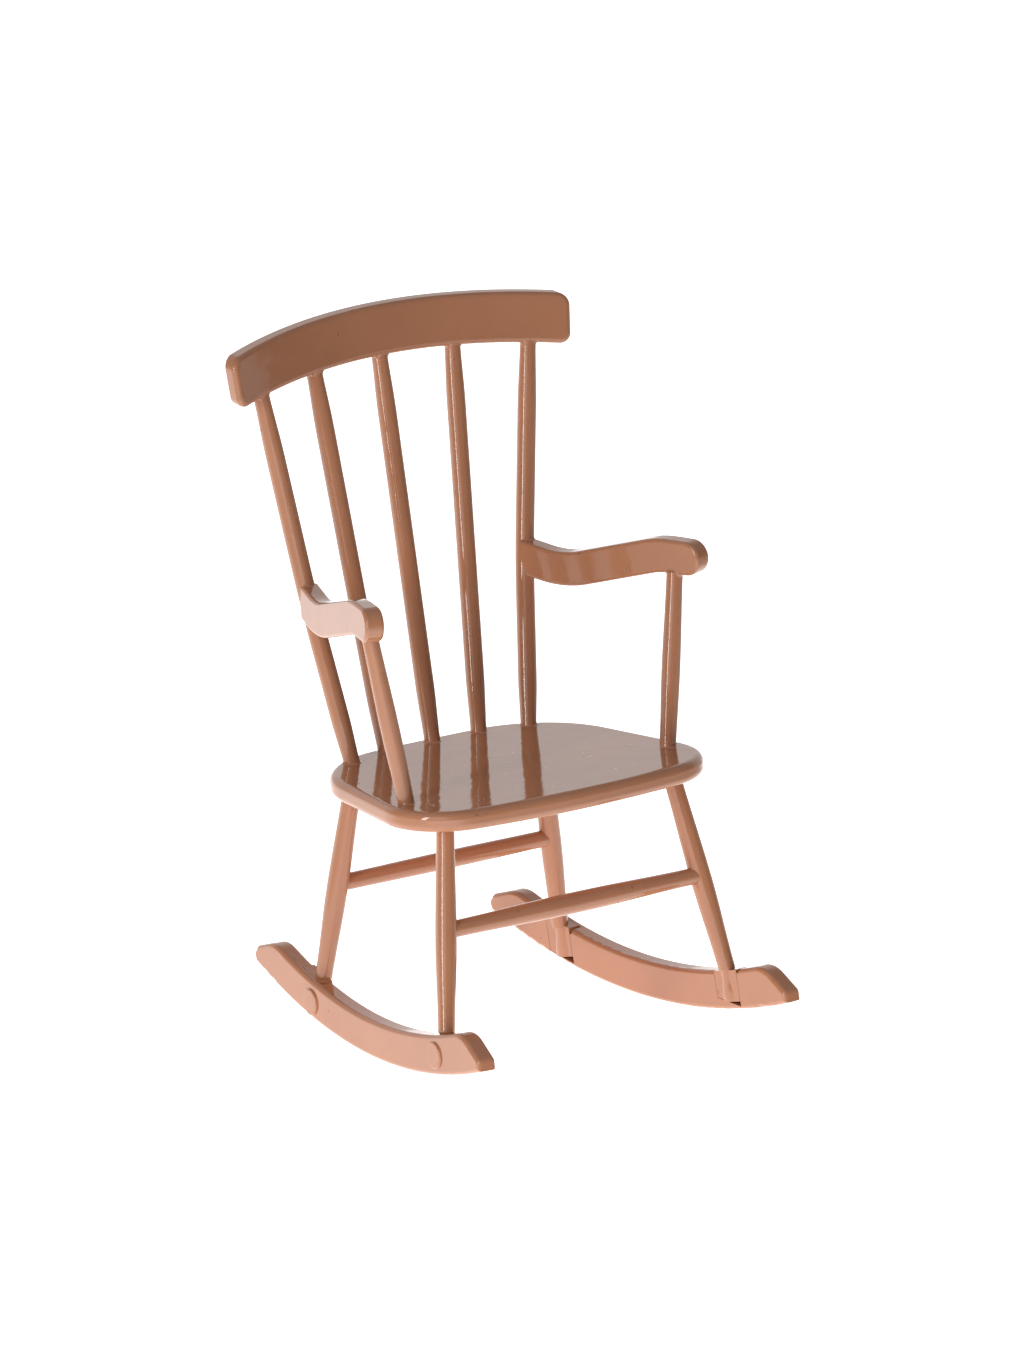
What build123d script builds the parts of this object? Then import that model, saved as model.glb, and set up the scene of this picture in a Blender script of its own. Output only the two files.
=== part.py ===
from build123d import *
from build123d.topology import SkipClean
import math
import os

# Miniature rocking chair, in millimetres. The chair faces -Y and +Z is up. X = 0 is the plane of
# symmetry. Each side piece is drawn for +X, the sitter's left, and mirrored for -X. The chair is
# drawn rocked a little forward of its balance, standing on z = 0. The last step rolls it back to
# where it comes to rest and puts the origin on the floor midway between the rockers' contacts.

# Seat plate
SEAT_Z = 43.05  # height of the top face at y = 0
SEAT_TILT = 5.0  # slope of the top face, down to the rear, in degrees
SEAT_THICK = 3.35
SEAT_FRONT_Y = -21.5
SEAT_BACK_Y = 24.3
SEAT_HALF = 27.4  # half width at y = 0
SEAT_FLARE = 0.17  # each side moves out by this much per mm towards the front
SEAT_FRONT_BOW = 3.85
SEAT_BACK_BOW = 0.95
SEAT_FRONT_CORNER = 11.0
SEAT_BACK_CORNER = 17.0
SEAT_EDGE = 1.25
SIT_HALF = 15.0  # the clear sitting area, within the spindles and the arm posts
SIT_FRONT_Y = -16.5
SIT_BACK_Y = 14.5
SIT_CORNER = 5.0
SIT_SKIN = 0.8

# Crest rail
CREST_HALF = 31.7
CREST_END_FLARE = 0.09  # the ends lean out by this much per mm of height
CREST_RADIUS = 79.5  # plan radius of the front face
CREST_Y = 34.7  # the front face at x = 0 and z = CREST_LEAN_Z
CREST_LEAN_Z = 101.25
CREST_LEAN = 12.3  # backward lean, in degrees
CREST_THICK = 3.0
CREST_BOTTOM_Z = 101.75
CREST_TOP_Z = 109.8
CREST_DROP = 1.85  # both long edges are this much lower at the ends
CREST_TOP_CORNER = 2.1
CREST_BOTTOM_CORNER = 1.7
CREST_EDGE = 0.8

# Round members of the back and the arms
SPINDLE_R = 1.53
SPINDLE_END_R = 1.3
SPINDLE_TAPER = 0.16  # each end tapers over this fraction of the length
SPINDLE_FOOT_Y = 21.45
SPINDLE_FOOT_X = 8.9
SPINDLE_HEAD_X = 13.2
POST_FOOT = (16.95, 19.15)
POST_HEAD_X = 25.5
POST_KNEE_Z = 67.0
POST_KNEE_BACK = 1.05  # the bend at the arm lies this far behind the straight line
POST_BEND_R = 150.0
POST_TAPER = 0.38  # each run tapers over this fraction of its length
ARM_POST_FOOT = (25.0, -8.1)
ARM_POST_HEAD = (29.1, -4.0)
ARM_POST_R = 1.52
ARM_POST_END_R = 1.33
ARM_POST_BELLY = 0.45  # the thickest place, as a fraction of the length from the foot

# Round ends: how far a shouldered end sinks into the other piece, and its tenon
SINK = 0.8
TENON_R = 0.8
TENON = 1.2
SOCKET_GAP = 0.02

# Arms: planks on edge, each in a vertical plane that opens to the front
ARM_PLANE_X = 28.57  # the middle of the plank at y = 0
ARM_FLARE = 0.307  # it moves out by this much per mm towards the front
ARM_REAR_Y = 24.4  # the plank's run forward is counted from here
ARM_THICK = 3.15
ARM_HALF_HEIGHT = 2.78
ARM_START = (-3.0, 67.5)  # run forward from ARM_REAR_Y, height
ARM_DIP = (7.35, 66.65)
ARM_HUMP = (26.5, 73.3)
ARM_NOSE = (32.05, 73.7)
ARM_BEND_R = (20.0, 17.0)  # at the dip and at the hump
ARM_EDGE = 0.6
ARM_LIP = 0.75  # the scooped rear end stops this far in front of the back post's axis
ARM_POST_RISE = 0.35  # the arm post's head, above the lower edge of the hump

# Legs and stretchers
LEG_FRONT_TOP = (21.7, -14.1, 40.67)
LEG_FRONT_LOW = (26.93, -22.1, 9.75)
LEG_REAR_TOP = (18.04, 17.45, 37.95)
LEG_REAR_LOW = (22.84, 18.7, 6.36)
LEG_TOP_R = 1.45
LEG_R = 1.72
LEG_BELLY = 0.55  # the thickest place, as a fraction of the length from the top
LEG_FOOT_R = 1.36
LEG_FOOT_ROUND = 0.5
STRETCHER_FRONT_Z = 25.2
STRETCHER_REAR_Z = 22.15
STRETCHER_FRONT_R = 1.7
STRETCHER_REAR_R = 1.47
STRETCHER_END_R = 1.36
STRETCHER_SADDLE = 0.75  # each end stops this far from the leg's axis

# Rockers
TOE_OUT = 5.2  # degrees
ROCKER_X = 27.54  # the outer face at y = 0
ROCKER_THICK = 3.3
REST_Y = 4.7  # the rockers touch the floor here
ROCKER_R = 107.7
ROCKER_TOP_R = 93.5
ROCKER_TOP_Y = 4.7
ROCKER_HEIGHT = 6.05  # at the lowest point
ROCKER_NOSE_Y = (-30.8, -37.0)  # where the front end leaves the top arc and the bottom arc
ROCKER_NOSE_TIP = [(-36.6, 10.1)]  # its corners in between, from the top
ROCKER_NOSE_ROUND = (5.0, 1.1)  # rounding at the top arc and at those corners
ROCKER_TAIL_Y = (30.3, 36.2)  # the same at the rear end
ROCKER_TAIL_TIP = [(35.9, 7.5), (36.9, 6.0)]
ROCKER_TAIL_ROUND = (6.0, 1.0)
ROCKER_EDGE = 0.75
POCKET_DEPTH = 2.2
POCKET_GAP = 0.08
POCKET_NOTCH = (0.45, 0.8)  # an open corner in front of each foot: along the rocker, and down
BLOCK_HALF = 2.9
BLOCK_SLANT = 0.24  # each block moves forward by this much per mm down
BLOCK_FRONT = (-22.7, 7.0, 4.95, 4.95)  # y at a height, pocket floor at its rear and its front
BLOCK_REAR = (18.8, 4.0, 1.8, 1.2)
BLOCK_HEEL = 0.75  # the block's floor rises by this much at its front
RIB_R = 3.4  # the leg's round fades into the block: its radius and rise at the block's floor
RIB_RISE = 0.1
PIN_FRONT = (-22.8, 6.9)
PIN_REAR = (17.7, 3.5)
PIN_R = 0.9
PIN_REACH = 1.4  # into the foot block
PIN_HEAD_R = 2.2
PIN_HEAD_HEIGHT = 0.35
PIN_HEAD_ROUND = 0.28

FAR = 60.0  # a length beyond the whole piece


def turned(start, end, stations, tenons=(0.0, 0.0), grow=0.0):
    """A round member on the line from start to end, with a tenon of the given length past each end.

    Stations are (fraction of the line, radius). Equal radii are joined by a straight side, others
    by a side that eases in and out. grow makes the same shape larger all round, which cuts its
    socket.
    """
    axis = Vector(*end) - Vector(*start)
    length = axis.length
    points = [(radius + grow, fraction * length) for fraction, radius in stations]
    foot = (points[0][0], -grow)
    head = (points[-1][0], length + grow)
    sides = []
    for low, high in zip([foot, *points[1:-1]], [*points[1:-1], head]):
        if low[0] == high[0]:
            sides.append(Line(low, high))
        else:
            sides.append(Spline(low, high, tangents=[(0, 1), (0, 1)]))
    section = make_face(Curve() + [*sides, Polyline(head, (0, head[1]), (0, foot[1]), foot)])
    body = revolve(Plane.XZ * section, Axis.Z)
    low = -tenons[0] - grow if tenons[0] else 0.0
    high = length + tenons[1] + grow if tenons[1] else length
    if tenons[0] or tenons[1]:
        body += Pos(0, 0, low) * extrude(Circle(TENON_R + grow), amount=high - low)
    return Plane(origin=start, z_dir=axis).location * body


def spindle_stations(middle, end):
    """A plain round member that tapers towards both ends."""
    return [(0.0, end), (SPINDLE_TAPER, middle), (1.0 - SPINDLE_TAPER, middle), (1.0, end)]


def lengthened(start, end, before, after):
    """The same line, made longer at its two ends."""
    step = (Vector(*end) - Vector(*start)).normalized()
    return (Vector(*start) - step * before), (Vector(*end) + step * after)


def seat_height(y):
    return SEAT_Z - math.tan(math.radians(SEAT_TILT)) * y


def on_seat(x, y):
    return (x, y, seat_height(y))


def in_crest(x):
    """The middle of the crest rail's lower edge at x."""
    z = CREST_BOTTOM_Z - CREST_DROP * (x / CREST_HALF) ** 2
    sag = CREST_RADIUS - math.sqrt(CREST_RADIUS**2 - x**2)
    lean = (z - CREST_LEAN_Z) * math.tan(math.radians(CREST_LEAN))
    return (x, CREST_Y + CREST_THICK / 2 - sag + lean, z)


def between(start, end, height):
    """The point at a height on the line from start to end."""
    share = (height - start[2]) / (end[2] - start[2])
    return tuple(a + share * (b - a) for a, b in zip(start, end))


def mirrored(piece):
    return mirror(piece, about=Plane.YZ)


# Seat

def seat_plate():
    front_y = SEAT_FRONT_Y + SEAT_FRONT_BOW
    back_y = SEAT_BACK_Y - SEAT_BACK_BOW
    front_x = SEAT_HALF - SEAT_FLARE * front_y
    back_x = SEAT_HALF - SEAT_FLARE * back_y
    outline = make_face(
        Curve()
        + [
            ThreePointArc((-front_x, front_y), (0, SEAT_FRONT_Y), (front_x, front_y)),
            Line((front_x, front_y), (back_x, back_y)),
            ThreePointArc((back_x, back_y), (0, SEAT_BACK_Y), (-back_x, back_y)),
            Line((-back_x, back_y), (-front_x, front_y)),
        ]
    )
    outline = fillet(outline.vertices().sort_by(Axis.Y)[:2], SEAT_FRONT_CORNER)
    outline = fillet(outline.vertices().sort_by(Axis.Y)[-2:], SEAT_BACK_CORNER)
    plate = extrude(outline, amount=-SEAT_THICK)
    rims = plate.faces().sort_by(Axis.Z)[0].edges() + plate.faces().sort_by(Axis.Z)[-1].edges()
    return seat_plane().location * fillet(rims, SEAT_EDGE)


def seat_plane():
    """The seat's top face, with x across and y to the rear."""
    tilt = math.radians(SEAT_TILT)
    return Plane(origin=(0, 0, SEAT_Z), x_dir=(1, 0, 0), z_dir=(0, math.sin(tilt), math.cos(tilt)))


def with_sitting_area(seat):
    """The same solid, with the clear sitting area as a face of its own in the top face."""
    middle_y = (SIT_FRONT_Y + SIT_BACK_Y) / 2
    area = Pos(0, middle_y) * RectangleRounded(2 * SIT_HALF, SIT_BACK_Y - SIT_FRONT_Y, SIT_CORNER)
    block = seat_plane().location * extrude(area, amount=SIT_SKIN, both=True)
    with SkipClean():
        whole = (seat - block) + (seat & block)
    return whole


# Crest rail

def crest_rail():
    slope = math.tan(math.radians(CREST_LEAN))
    ring = Circle(CREST_RADIUS + CREST_THICK) - Circle(CREST_RADIUS)
    bow = Pos(0, CREST_Y - CREST_RADIUS, CREST_LEAN_Z) * ring
    wall = extrude(bow, amount=FAR, dir=(0, slope, 1), both=True)
    low_end = CREST_BOTTOM_Z - CREST_DROP
    high_end = CREST_TOP_Z - CREST_DROP
    half_top = CREST_HALF + CREST_END_FLARE * (high_end - low_end)
    outline = make_face(
        Curve()
        + [
            ThreePointArc((-CREST_HALF, low_end), (0, CREST_BOTTOM_Z), (CREST_HALF, low_end)),
            Line((CREST_HALF, low_end), (half_top, high_end)),
            ThreePointArc((half_top, high_end), (0, CREST_TOP_Z), (-half_top, high_end)),
            Line((-half_top, high_end), (-CREST_HALF, low_end)),
        ]
    )
    outline = fillet(outline.vertices().sort_by(Axis.Y)[:2], CREST_BOTTOM_CORNER)
    outline = fillet(outline.vertices().sort_by(Axis.Y)[-2:], CREST_TOP_CORNER)
    front_view = Plane.XZ.location * outline
    rail = wall & extrude(front_view, amount=-FAR)
    faces = rail.faces().sort_by(SortBy.AREA)
    return fillet(faces[-1].edges() + faces[-2].edges(), CREST_EDGE)


# Back posts, spindles and arm posts

def post_knee():
    """Where the back post bends, at the height of the arm."""
    straight = between(on_seat(*POST_FOOT), in_crest(POST_HEAD_X), POST_KNEE_Z)
    return Vector(*straight) + Vector(0, POST_KNEE_BACK, 0)


def back_post_runs(grow=0.0):
    """The outer back post in three runs: tapered, a slight bend at the arm, and tapered again."""
    knee = post_knee()
    low_foot, _ = lengthened(on_seat(*POST_FOOT), knee, SINK, 0)
    _, high_head = lengthened(knee, in_crest(POST_HEAD_X), 0, SINK)
    path = FilletPolyline(low_foot, knee, high_head, radius=POST_BEND_R)
    lower, bend, upper = path.edges().sort_by(Axis.Z)
    taper = [(0.0, SPINDLE_END_R), (POST_TAPER, SPINDLE_R), (1.0, SPINDLE_R)]
    start = Plane(origin=bend.position_at(0), z_dir=bend.tangent_at(0))
    return [
        turned(low_foot, lower.position_at(1), taper, (TENON, 0.0), grow),
        sweep(start.location * Circle(SPINDLE_R + grow), path=bend),
        turned(high_head, upper.position_at(0), taper, (TENON, 0.0), grow),
    ]


def spindle(x_foot, x_head, grow=0.0):
    foot, head = lengthened(on_seat(x_foot, SPINDLE_FOOT_Y), in_crest(x_head), SINK, SINK)
    return turned(foot, head, spindle_stations(SPINDLE_R, SPINDLE_END_R), (TENON, TENON), grow)


def arm_x(y):
    return ARM_PLANE_X - ARM_FLARE * y


def arm_post(grow=0.0):
    """The upright under the arm's hump, a little inside the plank's middle."""
    head_z = ARM_HUMP[1] - ARM_HALF_HEIGHT + ARM_POST_RISE
    foot, _ = lengthened(on_seat(*ARM_POST_FOOT), (*ARM_POST_HEAD, head_z), SINK, 0)
    stations = [(0.0, ARM_POST_END_R), (ARM_POST_BELLY, ARM_POST_R), (1.0, ARM_POST_END_R)]
    return turned(foot, (*ARM_POST_HEAD, head_z), stations, (TENON, 0.0), grow)


# Arms

def arm_plane():
    """The plank's middle plane: x forward along the plank, y up, z away from the sitter."""
    forward = Vector(ARM_FLARE, -1, 0).normalized()
    origin = (arm_x(ARM_REAR_Y), ARM_REAR_Y, 0)
    return Plane(origin=origin, x_dir=forward, z_dir=forward.cross(Vector(0, 0, 1)))


def arm_plank():
    path = FilletPolyline(ARM_START, ARM_DIP, ARM_HUMP, ARM_NOSE, radius=list(ARM_BEND_R))
    outline = make_face(path.wires()[0].offset_2d(ARM_HALF_HEIGHT))
    plank = extrude(outline, amount=ARM_THICK / 2, both=True)
    sides = plank.faces().filter_by(Axis.Z)
    plank = arm_plane().location * fillet(sides[0].edges() + sides[1].edges(), ARM_EDGE)
    along_post = (post_knee() - Vector(*on_seat(*POST_FOOT))).normalized()
    forward = arm_plane().x_dir
    square = forward - along_post * forward.dot(along_post)
    return split(plank, Plane(origin=post_knee() + forward * ARM_LIP, z_dir=square), keep=Keep.TOP)


def arm_tenon(grow=0.0):
    """The round tenon from the arm's rear end into the back post, as far as the post's axis."""
    back = arm_plane().x_dir * -1
    start = post_knee() - back * 2 * ARM_LIP
    rod = extrude(Circle(TENON_R + grow), amount=2 * ARM_LIP + grow)
    return Plane(origin=start, z_dir=back).location * rod


# Rockers: drawn in the plane of the outer face, with x to the rear along the board, y up and z
# away from the sitter

def rocker_plane():
    toe = math.radians(TOE_OUT)
    return Plane(
        origin=(ROCKER_X, 0, 0),
        x_dir=(-math.sin(toe), math.cos(toe), 0),
        z_dir=(math.cos(toe), math.sin(toe), 0),
    )


def arc_height(x, middle, radius, lowest):
    """Height at x on an arc that is lowest at its middle."""
    return lowest + radius - math.sqrt(radius**2 - (x - middle) ** 2)


def top_height(x):
    """Height of the rocker's top at x."""
    return arc_height(x, ROCKER_TOP_Y, ROCKER_TOP_R, ROCKER_HEIGHT)


def rocker_outline():
    """The board's profile: two long arcs and its bevelled ends."""
    nose_top, tail_top = [(y, top_height(y)) for y in (ROCKER_NOSE_Y[0], ROCKER_TAIL_Y[0])]
    nose_low, tail_low = [
        (y, arc_height(y, REST_Y, ROCKER_R, 0)) for y in (ROCKER_NOSE_Y[1], ROCKER_TAIL_Y[1])
    ]
    return make_face(
        Curve()
        + [
            ThreePointArc(nose_top, (ROCKER_TOP_Y, ROCKER_HEIGHT), tail_top),
            Polyline(tail_top, *ROCKER_TAIL_TIP, tail_low),
            ThreePointArc(tail_low, (REST_Y, 0), nose_low),
            Polyline(nose_low, *reversed(ROCKER_NOSE_TIP), nose_top),
        ]
    )


def rounded_outline():
    """The same profile with its corners rounded."""
    outline = rocker_outline()
    for start, tip, (top_round, tip_round) in (
        (ROCKER_NOSE_Y[0], ROCKER_NOSE_TIP, ROCKER_NOSE_ROUND),
        (ROCKER_TAIL_Y[0], ROCKER_TAIL_TIP, ROCKER_TAIL_ROUND),
    ):
        places = [(x, tip_round) for x, _ in tip] + [(start, top_round)]
        for place, radius in places:
            corner = outline.vertices().sort_by(lambda v: abs(v.X - place))[0]
            outline = fillet(corner, radius)
    return outline


def rocker_board():
    board = extrude(rounded_outline(), amount=-ROCKER_THICK)
    sides = board.faces().sort_by(Axis.Z)
    return fillet(sides[0].edges() + sides[-1].edges(), ROCKER_EDGE)


def block_side(place, height, side):
    """A point on a foot block's front or rear edge; side is +1 at the rear."""
    y, at_height, _, _ = place
    return (y + BLOCK_SLANT * (height - at_height) + side * BLOCK_HALF, height)


def pocket_outline(place):
    """The pocket's profile, open at the top."""
    _, _, rear_floor, front_floor = place
    high = 2 * ROCKER_HEIGHT
    along, down = POCKET_NOTCH
    mouth = top_height(place[0] - BLOCK_HALF) - down
    inner_y, _ = block_side(place, mouth, -1)
    corners = [
        block_side(place, high, 1),
        block_side(place, rear_floor, 1),
        block_side(place, front_floor, -1),
        (inner_y, mouth),
        (inner_y - along, mouth),
        (inner_y - along, high),
    ]
    return make_face(Polyline(*corners, close=True))


def block_outline(place):
    """The foot block's profile: it stands on the pocket's floor, and its toe is cut away."""
    _, _, rear_floor, front_floor = place
    middle = (rear_floor + front_floor) / 2
    high = 2 * ROCKER_HEIGHT
    corners = [
        block_side(place, high, 1),
        block_side(place, rear_floor, 1),
        block_side(place, middle, 0),
        block_side(place, middle + BLOCK_HEEL, -1),
        block_side(place, high, -1),
    ]
    outline = make_face(Polyline(*corners, close=True))
    return offset(outline, -POCKET_GAP) & rocker_outline()


def pocket(place):
    """The pocket in the rocker's inner face, cut from beyond that face."""
    cut = extrude(pocket_outline(place), amount=2 * POCKET_DEPTH)
    return rocker_plane().location * (Pos(0, 0, -ROCKER_THICK - POCKET_DEPTH) * cut)


def foot_block(place):
    block = extrude(block_outline(place), amount=POCKET_DEPTH - POCKET_GAP)
    return rocker_plane().location * (Pos(0, 0, -ROCKER_THICK) * block)


def foot_rib(top, low, place):
    """The leg's round carried on down the foot block's face, where it fades out."""
    start = between(top, low, low[2] + LEG_FOOT_R)
    _, at_height, rear_floor, front_floor = place
    floor = (rear_floor + front_floor) / 2
    middle_y = place[0] + BLOCK_SLANT * (floor - at_height)
    inside = rocker_plane().location * Pos(middle_y, floor, RIB_R - RIB_RISE - ROCKER_THICK)
    rib = turned(start, inside.position, [(0.0, LEG_FOOT_R), (1.0, RIB_R)])
    face = extrude(block_outline(place), amount=-LEG_FOOT_R)
    return rib & (rocker_plane().location * (Pos(0, 0, -ROCKER_THICK) * face))


def rocker():
    board = rocker_plane().location * rocker_board()
    board -= pocket(BLOCK_FRONT) + pocket(BLOCK_REAR)
    board -= pin(PIN_FRONT, SOCKET_GAP) + pin(PIN_REAR, SOCKET_GAP)
    return board


def pin(place, grow=0.0):
    """A rivet through the rocker into the foot block, with a low round head outside."""
    depth = ROCKER_THICK - POCKET_DEPTH + PIN_REACH
    body = Pos(0, 0, -depth - grow) * extrude(Circle(PIN_R + grow), amount=depth + PIN_HEAD_HEIGHT)
    if not grow:
        head = extrude(Circle(PIN_HEAD_R), amount=PIN_HEAD_HEIGHT)
        body += fillet(head.edges().sort_by(Axis.Z)[-1], PIN_HEAD_ROUND)
    return rocker_plane().location * (Pos(*place) * body)


# Legs and stretchers

def shank(top, low, grow=0.0):
    """The leg's round length, up to its tenon in the seat."""
    high, _ = lengthened(top, low, SINK, 0)
    stations = [(0.0, LEG_TOP_R), (LEG_BELLY, LEG_R), (1.0, LEG_FOOT_R)]
    return turned(high, low, stations, (TENON, 0.0), grow)


def leg(top, low, place, pin_place, stretcher):
    """A round leg: its shank, and the flat foot block that it runs into, flush with the rocker."""
    body = shank(top, low)
    rim = body.edges().filter_by(GeomType.CIRCLE).sort_by(Axis.Z)[0]
    body = fillet(rim, LEG_FOOT_ROUND)
    body += foot_block(place) + foot_rib(top, low, place)
    return body - pin(pin_place, SOCKET_GAP) - stretcher


def stretcher(top, low, height, radius, grow=0.0):
    """A round rod across, between a pair of legs."""
    x, y, z = between(top, low, height)
    end = x - STRETCHER_SADDLE
    stations = [(0.0, STRETCHER_END_R), (0.5, radius), (1.0, STRETCHER_END_R)]
    return turned((-end, y, z), (end, y, z), stations, (TENON, TENON), grow)


def build():
    """Every piece by its node name."""
    front = (LEG_FRONT_TOP, LEG_FRONT_LOW)
    rear = (LEG_REAR_TOP, LEG_REAR_LOW)
    front_rod = (*front, STRETCHER_FRONT_Z, STRETCHER_FRONT_R)
    rear_rod = (*rear, STRETCHER_REAR_Z, STRETCHER_REAR_R)
    lower_post, bend, upper_post = back_post_runs()
    post_sockets = back_post_runs(SOCKET_GAP)
    arm_post_socket = arm_post(SOCKET_GAP)
    spindles = {
        "spindle_left": (SPINDLE_FOOT_X, SPINDLE_HEAD_X),
        "spindle_centre": (0.0, 0.0),
        "spindle_right": (-SPINDLE_FOOT_X, -SPINDLE_HEAD_X),
    }

    pieces = {}
    pieces["back_post_left"] = lower_post + bend + upper_post - arm_tenon(SOCKET_GAP)
    pieces["arm_left"] = (arm_plank() - post_sockets) + arm_tenon() - arm_post_socket
    pieces["arm_post_left"] = arm_post()
    pieces["leg_front_left"] = leg(*front, BLOCK_FRONT, PIN_FRONT, stretcher(*front_rod, SOCKET_GAP))
    pieces["leg_rear_left"] = leg(*rear, BLOCK_REAR, PIN_REAR, stretcher(*rear_rod, SOCKET_GAP))
    pieces["rocker_left"] = rocker()
    pieces["pin_front_left"] = pin(PIN_FRONT)
    pieces["pin_rear_left"] = pin(PIN_REAR)
    for name in list(pieces):
        pieces[name.replace("_left", "_right")] = mirrored(pieces[name])

    pieces["stretcher_front"] = stretcher(*front_rod)
    pieces["stretcher_rear"] = stretcher(*rear_rod)
    for name, ends in spindles.items():
        pieces[name] = spindle(*ends)

    rail = crest_rail()
    seat = seat_plate()
    rail -= [post_sockets[2], mirrored(post_sockets[2])]
    leg_sockets = [shank(*front, SOCKET_GAP), shank(*rear, SOCKET_GAP)]
    for socket in [post_sockets[0], arm_post_socket, *leg_sockets]:
        seat -= [socket, mirrored(socket)]
    for ends in spindles.values():
        rail -= spindle(*ends, SOCKET_GAP)
        seat -= spindle(*ends, SOCKET_GAP)
    pieces["crest_rail"] = rail
    pieces["seat"] = with_sitting_area(seat)
    return pieces


def at_rest(pieces):
    """The whole chair rolled on its rockers until its centre of mass is over the contact line.

    Every piece is of the same material, so volume stands for mass.
    """
    volume = sum(piece.volume for piece in pieces.values())
    centre = Vector(0, 0, 0)
    for piece in pieces.values():
        centre += piece.center(CenterOf.MASS) * (piece.volume / volume)
    lean = math.degrees(math.atan2(centre.Y - REST_Y, ROCKER_R - centre.Z))
    roll = Pos(0, 0, ROCKER_R) * Rot(-lean, 0, 0) * Pos(0, -REST_Y, -ROCKER_R)
    return {node: roll * piece for node, piece in pieces.items()}


os.makedirs("parts", exist_ok=True)
for node, piece in at_rest(build()).items():
    export_step(piece, f"parts/{node}.step")
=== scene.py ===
"""Looks for the miniature rocking chair: enamel, paint fillets at the joints, light and camera.

Metres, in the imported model's own frame: +Z up, -Y the front of the chair, +X the sitter's left.
"""
import math

import bpy
import numpy as np
from mathutils import Matrix, Vector
from mathutils.bvhtree import BVHTree


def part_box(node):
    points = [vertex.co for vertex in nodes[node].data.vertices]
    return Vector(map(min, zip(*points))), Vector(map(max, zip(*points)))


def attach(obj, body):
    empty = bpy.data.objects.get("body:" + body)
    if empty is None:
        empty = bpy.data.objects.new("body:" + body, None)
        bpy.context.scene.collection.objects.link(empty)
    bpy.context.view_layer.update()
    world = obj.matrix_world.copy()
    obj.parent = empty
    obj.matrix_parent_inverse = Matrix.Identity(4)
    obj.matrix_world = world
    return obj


MM = 0.001

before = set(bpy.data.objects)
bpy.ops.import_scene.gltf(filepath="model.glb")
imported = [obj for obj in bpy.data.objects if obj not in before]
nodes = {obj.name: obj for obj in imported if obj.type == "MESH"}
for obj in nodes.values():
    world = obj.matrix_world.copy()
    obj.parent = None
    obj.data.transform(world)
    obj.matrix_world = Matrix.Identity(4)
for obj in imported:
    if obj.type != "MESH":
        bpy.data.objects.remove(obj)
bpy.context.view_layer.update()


# ---------------------------------------------------------------- measuring the CAD pieces

def surface(node):
    """A search tree over one CAD node's surface."""
    mesh = nodes[node].data
    points = [v.co.copy() for v in mesh.vertices]
    return BVHTree.FromPolygons(points, [tuple(p.vertices) for p in mesh.polygons])


trees = {node: surface(node) for node in nodes}


def middle_of_cut(node, axis, place):
    """The middle of a member where a plane across it cuts it.

    axis is 0, 1 or 2 for X, Y or Z, and place is where the plane stands on that axis.
    """
    mesh = nodes[node].data
    points = np.empty(len(mesh.vertices) * 3)
    mesh.vertices.foreach_get("co", points)
    points = points.reshape(-1, 3)
    pairs = np.empty(len(mesh.edges) * 2, np.int32)
    mesh.edges.foreach_get("vertices", pairs)
    start, end = points[pairs.reshape(-1, 2)[:, 0]], points[pairs.reshape(-1, 2)[:, 1]]
    low, high = start[:, axis] - place, end[:, axis] - place
    crossing = low * high < 0
    start, end, low, high = start[crossing], end[crossing], low[crossing], high[crossing]
    cut = start + (end - start) * (low / (low - high))[:, None]
    return Vector((cut.min(0) + cut.max(0)) / 2)


def member_axis(node, axis, near, far):
    """A point on a member's axis and the direction from far to near."""
    at_near = middle_of_cut(node, axis, near)
    at_far = middle_of_cut(node, axis, far)
    return at_near, (at_near - at_far).normalized()


# ---------------------------------------------------------------- paint fillets

RING = 96  # cuts round a joint
CURVE = 8  # steps from the member to the base
SUNK = 0.04 * MM  # how far the paint's edges lie below the surfaces they meet
EDGE_DEPTH = 4 * SUNK  # the hidden side of the ring, inside the member and the base
CORNER_DEPTH = 3 * SUNK

# How far the paint spreads on the base, and how far it climbs the member, in mm
AT_CREST = (0.42, 0.62)
ON_SEAT = (0.24, 0.34)
UNDER_SEAT = (0.3, 0.35)
UNDER_ARM = (0.45, 0.6)
AT_BACK_POST = (0.5, 0.55)
AT_LEG = (0.38, 0.45)


def uneven(angle, seed):
    """How much wider or narrower the paint lies at an angle round a joint."""
    return (
        1.0
        + 0.16 * math.sin(angle + 1.7 * seed)
        + 0.10 * math.sin(2 * angle + 2.9 * seed)
        + 0.05 * math.sin(5 * angle + 4.1 * seed)
    )


def ring_mesh(name, rings):
    """A closed ring of cross-sections, smooth shaded."""
    count = len(rings[0])
    mesh = bpy.data.meshes.new(name)
    points = [p for ring in rings for p in ring]
    faces = []
    for i in range(len(rings)):
        j = (i + 1) % len(rings)
        for k in range(count):
            m = (k + 1) % count
            faces.append((i * count + k, j * count + k, j * count + m, i * count + m))
    mesh.from_pydata(points, [], faces)
    mesh.validate()
    mesh.shade_smooth()
    piece = bpy.data.objects.new(name, mesh)
    bpy.context.collection.objects.link(piece)
    return piece


def cross_section(above, corner, beside, member, base):
    """One cut through a fillet: a hollow curve from the member to the base, closed inside them."""
    section = []
    for i in range(CURVE + 1):
        t = i / CURVE
        section.append(above * (1 - t) ** 2 + corner * 2 * t * (1 - t) + beside * t**2)
    into_base = trees[base].find_nearest(beside)[1]
    into_member = trees[member].find_nearest(above)[1]
    section.append(beside - into_base * EDGE_DEPTH)
    section.append(corner - (into_base + into_member) * CORNER_DEPTH)
    section.append(above - into_member * EDGE_DEPTH)
    return section


def settle(tree, point):
    """The nearest point of a surface, sunk a hair below it."""
    place, normal, _, _ = tree.find_nearest(point)
    return place - normal * SUNK


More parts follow.
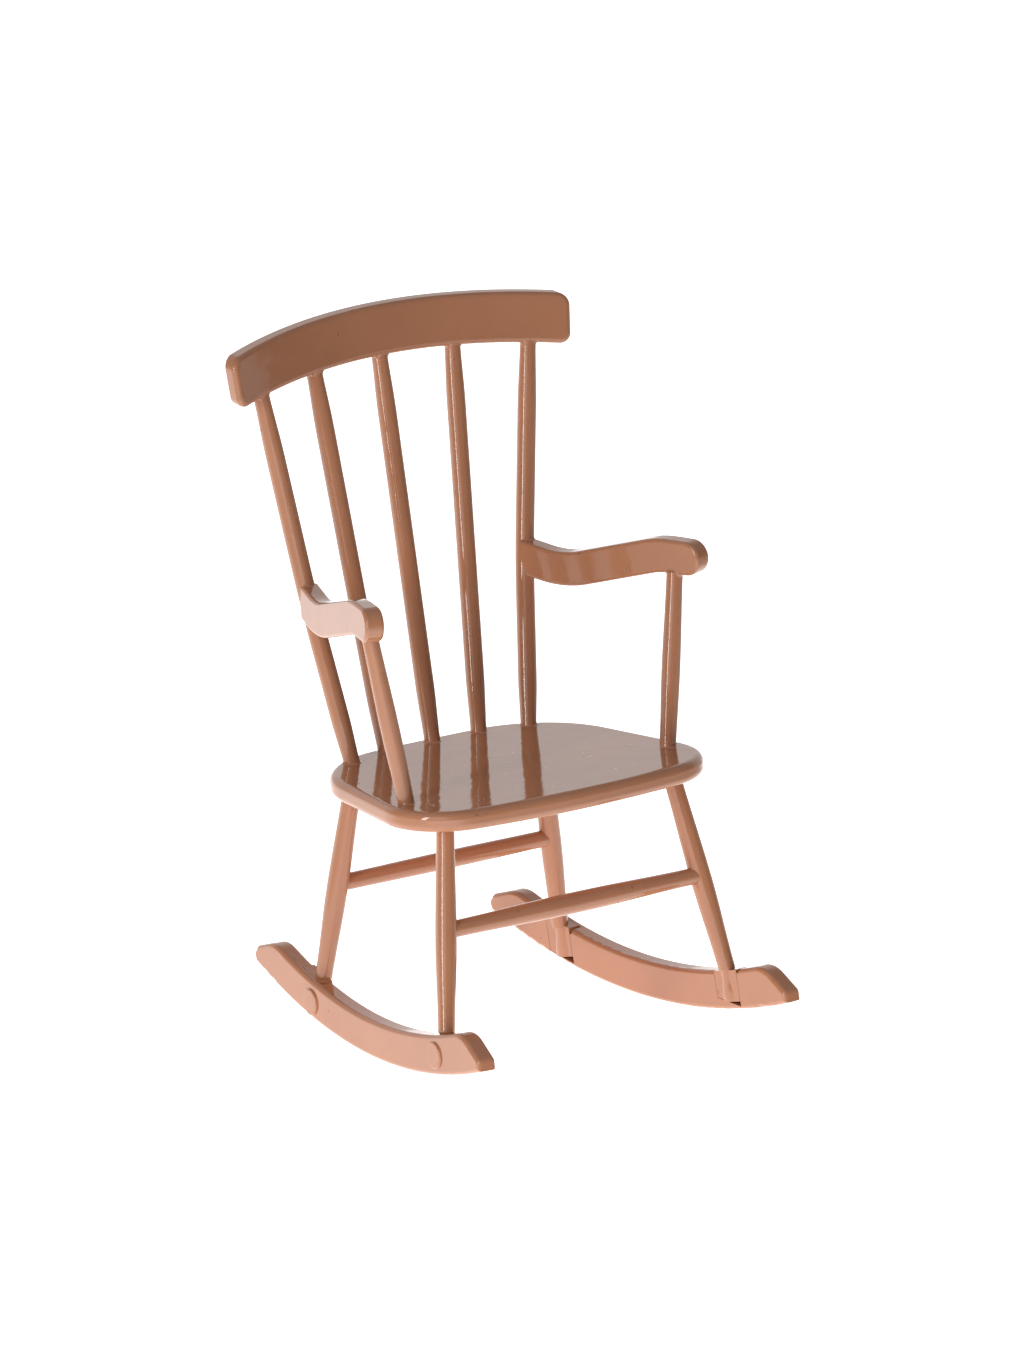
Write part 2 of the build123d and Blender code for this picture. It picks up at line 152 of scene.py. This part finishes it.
def fillet_round(name, member, base, start, towards, reach, width, height, seed):
    """Paint drawn up round a member where it meets the base.

    start is a point inside the member and reach is how far its end lies from there.
    """
    side = towards.orthogonal().normalized()
    other = towards.cross(side)
    rings = []
    for i in range(RING):
        angle = 2 * math.pi * i / RING
        out = side * math.cos(angle) + other * math.sin(angle)
        size = uneven(angle, seed)
        begin = trees[member].ray_cast(start, out)[0]
        hit = trees[base].ray_cast(begin, towards)[0]
        if hit is None or (hit - begin).length > reach:
            hit = trees[base].find_nearest(begin + towards * reach)[0]
        beside = settle(trees[base], hit + (out + towards) * width * size)
        above = settle(trees[member], hit - towards * height * size)
        rings.append(cross_section(above, hit, beside, member, base))
    return ring_mesh(name, rings)


# ---------------------------------------------------------------- the joints

seat_low, seat_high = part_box("seat")
sides = {"left": 1, "right": -1}
fillets = []


def joint(member, base, axis, near, far, reach, paint, seed):
    """A paint fillet where a member runs into a base.

    The member is cut at near and far, places on the axis 0, 1 or 2 for X, Y or Z. The paint
    starts from the cut at near, and reach is the most that the base can be away from it, in mm.
    """
    start, towards = member_axis(member, axis, near, far)
    name = f"paint_{member}_{base}"
    lengths = (length * MM for length in (reach, *paint))
    fillets.append(fillet_round(name, member, base, start, towards, *lengths, seed))


uprights = ["spindle_left", "spindle_centre", "spindle_right", "back_post_left", "back_post_right"]
for i, node in enumerate(uprights):
    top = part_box(node)[1].z
    joint(node, "crest_rail", 2, top - 5.5 * MM, top - 12 * MM, 6.0, AT_CREST, i)
    joint(node, "seat", 2, seat_high.z + 0.5 * MM, seat_high.z + 7 * MM, 9.0, ON_SEAT, i + 7)

for i, side in enumerate(sides):
    post = f"arm_post_{side}"
    arm = f"arm_{side}"
    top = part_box(post)[1].z
    joint(post, "seat", 2, seat_high.z + 1 * MM, seat_high.z + 7 * MM, 9.0, ON_SEAT, i + 13)
    joint(post, arm, 2, top - 4 * MM, top - 10 * MM, 3.9, UNDER_ARM, i + 17)
    arm_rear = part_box(arm)[1].y
    near, far = arm_rear - 2.6 * MM, arm_rear - 6 * MM
    joint(arm, f"back_post_{side}", 1, near, far, 2.4, AT_BACK_POST, i + 19)
    for end in ("front", "rear"):
        leg = f"leg_{end}_{side}"
        joint(leg, "seat", 2, seat_low.z - 1.5 * MM, seat_low.z - 8 * MM, 7.0, UNDER_SEAT, i + 21)
        rod = f"stretcher_{end}"
        near = sides[side] * (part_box(rod)[1].x - 4.5 * MM)
        joint(rod, leg, 0, near, near - sides[side] * 8 * MM, 4.0, AT_LEG, i + 31)


# ---------------------------------------------------------------- shader nodes

def ramp(tree, value, start, end, at_start, at_end, kind="LINEAR"):
    """A value that goes from at_start to at_end as another goes from start to end, and stops there."""
    node = tree.nodes.new("ShaderNodeMapRange")
    node.interpolation_type = kind
    node.inputs["From Min"].default_value = start
    node.inputs["From Max"].default_value = end
    node.inputs["To Min"].default_value = at_start
    node.inputs["To Max"].default_value = at_end
    tree.links.new(value, node.inputs["Value"])
    return node.outputs["Result"]


def calculated(tree, operation, *values):
    """The result of one arithmetic node."""
    node = tree.nodes.new("ShaderNodeMath")
    node.operation = operation
    for value, socket in zip(values, node.inputs):
        tree.links.new(value, socket)
    return node.outputs["Value"]


def along(tree, place, direction):
    """How far a place lies along a direction."""
    node = tree.nodes.new("ShaderNodeVectorMath")
    node.operation = "DOT_PRODUCT"
    node.inputs[1].default_value = direction
    tree.links.new(place, node.inputs[0])
    return node.outputs["Value"]


# ---------------------------------------------------------------- enamel

LIGHT_ENAMEL = (0.455, 0.199, 0.107)
DARK_ENAMEL = (0.425, 0.183, 0.097)
NIB_ENAMEL = (0.34, 0.142, 0.074)
ENAMEL_IOR = 1.55

# The peel is the fine unevenness that roughens the edges of reflections: noise scale, bump strength
FINE_PEEL = (1900.0, 0.22)
SEAT_PEEL = (1000.0, 0.5)


def enamel(name, seed, peel=FINE_PEEL):
    """Thick glossy dipped enamel: near-even colour, faint drifts of tone, soft waves and a few nibs."""
    material = bpy.data.materials.new(name)
    material.use_nodes = True
    tree = material.node_tree
    link = tree.links.new
    shader = tree.nodes["Principled BSDF"]
    shader.inputs["IOR"].default_value = ENAMEL_IOR

    place = tree.nodes.new("ShaderNodeTexCoord")
    shift = tree.nodes.new("ShaderNodeMapping")
    shift.inputs["Location"].default_value = (seed, seed * 0.7, seed * 0.3)
    link(place.outputs["Object"], shift.inputs["Vector"])

    def noise(scale, detail):
        node = tree.nodes.new("ShaderNodeTexNoise")
        node.inputs["Scale"].default_value = scale
        node.inputs["Detail"].default_value = detail
        node.inputs["Roughness"].default_value = 0.5
        link(shift.outputs["Vector"], node.inputs["Vector"])
        return node.outputs["Fac"]

    def mix(factor, first, second):
        node = tree.nodes.new("ShaderNodeMix")
        node.data_type = "RGBA"
        link(factor, node.inputs["Factor"])
        for socket, colour in ((node.inputs["A"], first), (node.inputs["B"], second)):
            if isinstance(colour, tuple):
                socket.default_value = (*colour, 1.0)
            else:
                link(colour, socket)
        return node.outputs["Result"]

    def bump(height, strength, distance, below=None):
        node = tree.nodes.new("ShaderNodeBump")
        node.inputs["Strength"].default_value = strength
        node.inputs["Distance"].default_value = distance * MM
        link(height, node.inputs["Height"])
        if below is not None:
            link(below, node.inputs["Normal"])
        return node.outputs["Normal"]

    drift = ramp(tree, noise(70.0, 3.0), 0.35, 0.65, 0.0, 1.0)
    nib = ramp(tree, noise(850.0, 0.0), 0.82, 0.86, 0.0, 1.0)
    colour = mix(nib, mix(drift, LIGHT_ENAMEL, DARK_ENAMEL), NIB_ENAMEL)
    link(colour, shader.inputs["Base Color"])
    link(ramp(tree, noise(320.0, 3.0), 0.3, 0.7, 0.04, 0.09), shader.inputs["Roughness"])

    peel_scale, peel_strength = peel
    waves = bump(noise(240.0, 1.5), 0.35, 0.12)
    peeled = bump(noise(peel_scale, 2.0), peel_strength, 0.012, waves)
    link(bump(nib, 0.6, 0.04, peeled), shader.inputs["Normal"])
    return material


for i, (node, piece) in enumerate(sorted(nodes.items())):
    piece.data.materials.clear()
    peel = SEAT_PEEL if node == "seat" else FINE_PEEL
    piece.data.materials.append(enamel(f"enamel_{node}", 0.013 * i, peel))
for i, piece in enumerate(fillets):
    piece.data.materials.append(enamel(f"enamel_{piece.name}", 0.31 + 0.011 * i))
    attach(piece, "root")


# ---------------------------------------------------------------- floor, light and camera

VIEW_AZIMUTH = 34.4  # from -Y towards -X, in degrees
VIEW_ELEVATION = 19.2
FLOOR_HALF = 4.0
WHITE = (1.0, 1.0, 1.0, 1.0)


def from_azimuth(azimuth, elevation=0.0):
    """The direction out to a place round the chair, by its azimuth and elevation in degrees."""
    a, e = math.radians(azimuth), math.radians(elevation)
    return Vector((-math.sin(a) * math.cos(e), -math.cos(a) * math.cos(e), math.sin(e)))


def glowing_floor():
    """A white table top that glows with painted light, bright along a strip under the view line and
    dimmer on both sides of it.

    The strip stays fixed in the scene, and widens behind the chair.
    """
    h = FLOOR_HALF
    mesh = bpy.data.meshes.new("floor")
    mesh.from_pydata([(-h, -h, 0), (h, -h, 0), (h, h, 0), (-h, h, 0)], [], [(0, 1, 2, 3)])
    floor = bpy.data.objects.new("floor", mesh)
    bpy.context.collection.objects.link(floor)

    material = bpy.data.materials.new("floor_white")
    material.use_nodes = True
    tree = material.node_tree
    shader = tree.nodes["Principled BSDF"].inputs
    shader["Base Color"].default_value = (0.93, 0.93, 0.93, 1.0)
    shader["Roughness"].default_value = 0.9
    shader["Specular IOR Level"].default_value = 0.0
    shader["Emission Color"].default_value = WHITE

    place = tree.nodes.new("ShaderNodeTexCoord").outputs["Object"]
    across_view = Vector((0, 0, 1)).cross(from_azimuth(VIEW_AZIMUTH))
    width = calculated(tree, "ABSOLUTE", along(tree, place, across_view))
    opening = ramp(tree, along(tree, place, (0, 1, 0)), 0.06, 0.30, 0.0, 0.38)
    reach = calculated(tree, "SUBTRACT", width, opening)
    # The floor's emission is painted light: a glowing pool along the view line that fades to the sides.
    glow = ramp(tree, reach, 0.09, 0.17, 1.25, 0.25, "SMOOTHSTEP")
    tree.links.new(glow, shader["Emission Strength"])
    mesh.materials.append(material)
    return floor


def surroundings():
    """A bright back wall that fades upward, under a dimmer ceiling and between dark sides."""
    world = bpy.data.worlds.new("studio")
    bpy.context.scene.world = world
    world.use_nodes = True
    tree = world.node_tree
    direction = tree.nodes.new("ShaderNodeTexCoord").outputs["Generated"]
    behind = along(tree, direction, -from_azimuth(VIEW_AZIMUTH))
    height = along(tree, direction, (0, 0, 1))
    wall = calculated(
        tree,
        "MULTIPLY",
        ramp(tree, behind, 0.25, 0.80, 0.0, 0.9, "SMOOTHSTEP"),
        ramp(tree, height, 0.38, 0.80, 1.0, 0.0, "SMOOTHSTEP"),
    )
    ceiling = ramp(tree, height, 0.2, 0.9, 0.08, 0.34, "SMOOTHSTEP")
    background = tree.nodes["Background"].inputs
    tree.links.new(calculated(tree, "ADD", wall, ceiling), background["Strength"])
    background["Color"].default_value = WHITE


def soft_light(name, azimuth, elevation, distance, size, power):
    """A rectangular light, turned towards the middle of the chair."""
    data = bpy.data.lights.new(name, "AREA")
    data.shape = "RECTANGLE"
    data.size, data.size_y = size
    data.energy = power
    lamp = bpy.data.objects.new(name, data)
    away = from_azimuth(azimuth, elevation)
    lamp.location = Vector((0.0, 0.0, 0.055)) + away * distance
    lamp.rotation_euler = away.to_track_quat("Z", "Y").to_euler()
    bpy.context.collection.objects.link(lamp)


glowing_floor()
surroundings()
soft_light("broad_front", 60, 22, 1.2, (0.9, 0.7), 2.4)
soft_light("strip_left", 75, 17, 1.0, (0.14, 0.60), 3.0)

# The view is laid out for the chair as drawn, and turned with it as it settles back on its rockers.
SETTLED_BACK = 2.167  # degrees
ARC_CENTRE = Vector((0.0, 0.0, 0.1077))  # the middle of the rockers' arc
CAMERA_LENS = 497.7  # mm, on a 36 mm sensor
CAMERA_DISTANCE = 3.0
LOOKED_AT = Vector((0.0, -0.0047, 0.00025))
AIM_RIGHT = 0.000177  # how far the camera turns aside and up from LOOKED_AT
AIM_UP = 0.017861


def place_camera():
    """A long lens, turned round the rockers' arc by as much as the chair."""
    back = from_azimuth(VIEW_AZIMUTH, VIEW_ELEVATION)
    right = Vector((0, 0, 1)).cross(from_azimuth(VIEW_AZIMUTH))
    up = back.cross(right)
    ahead = (right * AIM_RIGHT + up * AIM_UP - back).normalized()
    right = ahead.cross(up).normalized()
    up = right.cross(ahead)
    stand = Matrix((right, up, -ahead)).transposed().to_4x4()
    stand.translation = LOOKED_AT + back * CAMERA_DISTANCE
    turn = Matrix.Rotation(-math.radians(SETTLED_BACK), 4, "X")
    set_down = Matrix.Translation(ARC_CENTRE) @ turn @ Matrix.Translation(-ARC_CENTRE)

    data = bpy.data.cameras.new("camera")
    data.sensor_width = 36.0
    data.lens = CAMERA_LENS
    data.clip_start = 0.1
    data.clip_end = 50.0
    camera = bpy.data.objects.new("camera", data)
    camera.matrix_world = set_down @ stand
    bpy.context.collection.objects.link(camera)
    bpy.context.scene.camera = camera


place_camera()
bpy.context.scene.view_settings.view_transform = "Standard"
